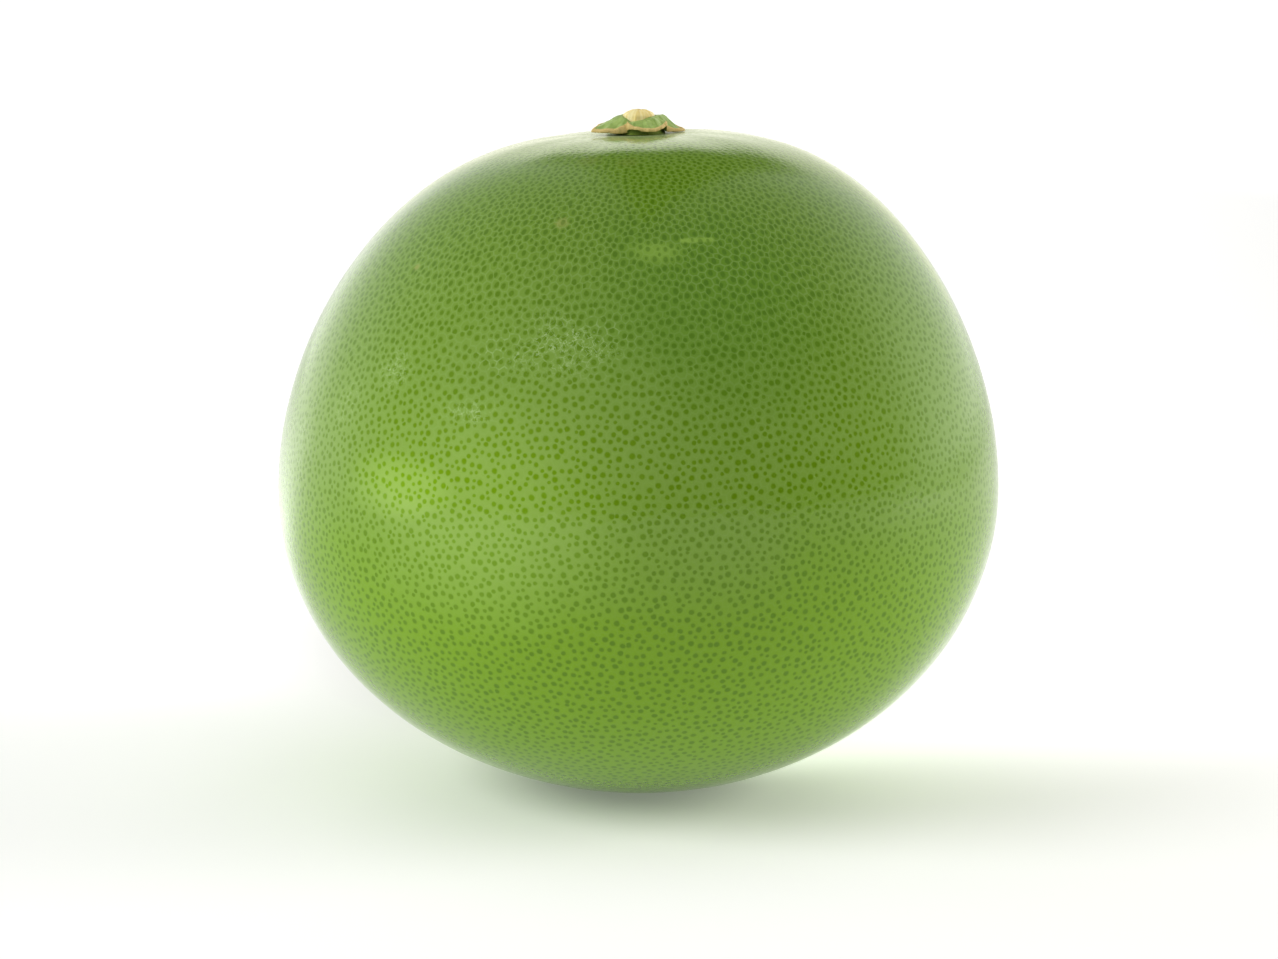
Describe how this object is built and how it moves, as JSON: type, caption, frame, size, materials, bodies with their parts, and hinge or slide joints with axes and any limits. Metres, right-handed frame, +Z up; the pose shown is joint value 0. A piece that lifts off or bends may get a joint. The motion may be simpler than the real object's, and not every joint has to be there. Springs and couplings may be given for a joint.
{
  "type": "pomelo",
  "caption": "Whole green pomelo, a round citrus fruit with a gland-dotted rind, a starry calyx and a cut stalk on its crown, standing on a small flat spot.",
  "frame": {"origin": "middle of the small flat spot that the fruit stands on, at the blossom end", "axes": "+Z up along the fruit's axis from blossom end to stalk, +X towards the fuller shoulder, -Y towards the broad sepal"},
  "size_m": [0.1652, 0.1648, 0.1553],
  "materials": {
    "rind": "waxy satin rind, mid green with close darker green oil gland dots, yellower low on one side and deeper green round the crown",
    "calyx": "dull leafy green sepals with dry tan edges and a dark green neck",
    "stalk": "dry pale tan cut wood with brown streaks"
  },
  "bodies": {
    "root": {"fruit": "rind", "calyx": "calyx", "stalk": "stalk"}
  },
  "joints": []
}
